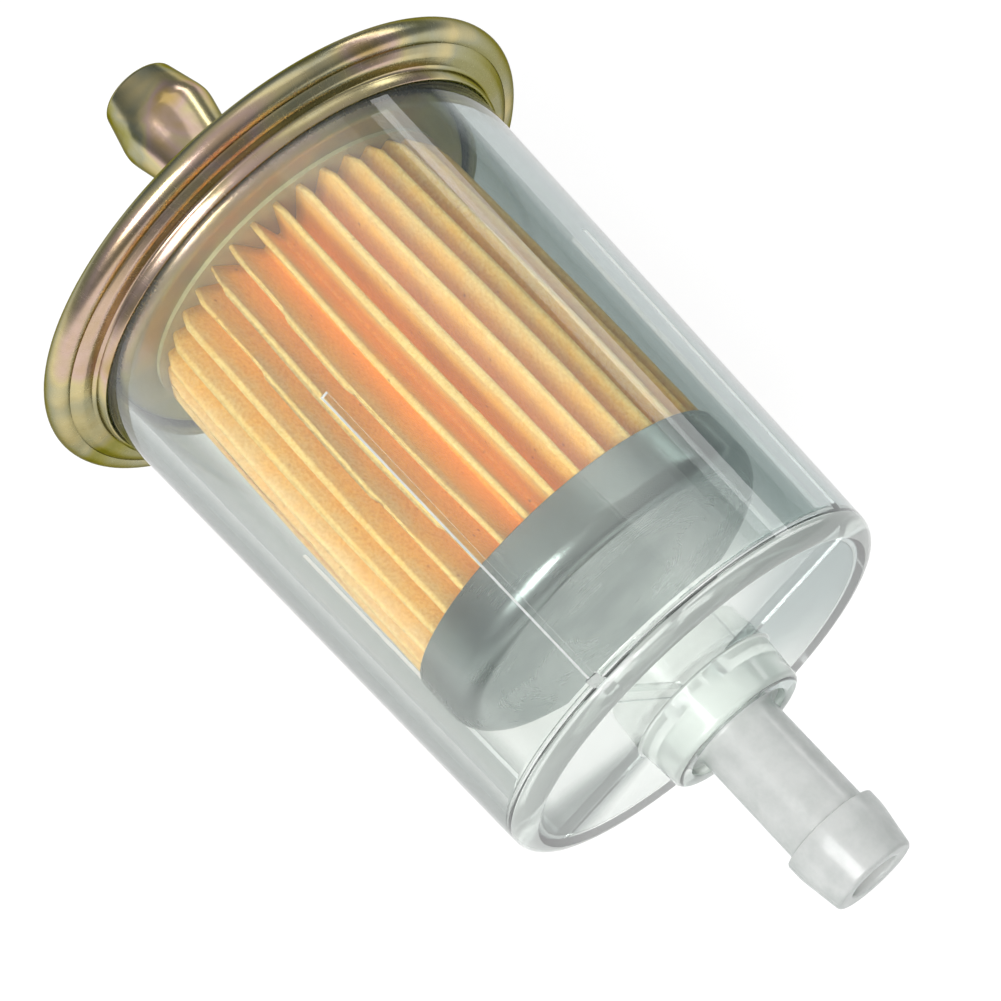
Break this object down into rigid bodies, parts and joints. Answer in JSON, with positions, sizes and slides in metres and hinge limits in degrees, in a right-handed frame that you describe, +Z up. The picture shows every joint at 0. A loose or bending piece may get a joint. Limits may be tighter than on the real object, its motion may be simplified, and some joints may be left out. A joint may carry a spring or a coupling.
{
  "type": "in-line fuel filter",
  "caption": "Clear-bowl in-line fuel filter: a pleated paper element on a crimped steel cover, with a hose barb at one end and a beaded steel nipple at the other.",
  "frame": {"origin": "on the filter's axis, half way between the two hose ends", "axes": "+X out of the plastic inlet barb, -X out of the steel outlet nipple, +Z up"},
  "size_m": [0.101, 0.054, 0.054],
  "materials": {
    "clear_plastic": "clear, polished",
    "frosted_plastic": "frosted, translucent",
    "yellow_zinc_steel": "yellow passivated zinc, satin",
    "nipple_steel": "yellow passivated zinc, semi-gloss",
    "braze_metal": "dull, flowed",
    "gasket_rubber": "matt",
    "filter_paper": "resin-treated, matt",
    "tin_plate": "bright rolled",
    "cap_metal": "satin",
    "element_glue": "cured, dull"
  },
  "bodies": {
    "root": {"clear_bowl": "clear_plastic", "inlet_barb": "frosted_plastic", "steel_cover": "yellow_zinc_steel", "outlet_nipple": "nipple_steel", "nipple_braze": "braze_metal", "rim_gasket": "gasket_rubber", "pleated_paper": "filter_paper", "seam_clip": "tin_plate", "centre_tube": "tin_plate", "end_cap": "cap_metal", "cap_glue": "element_glue", "cover_glue": "element_glue"}
  },
  "joints": []
}
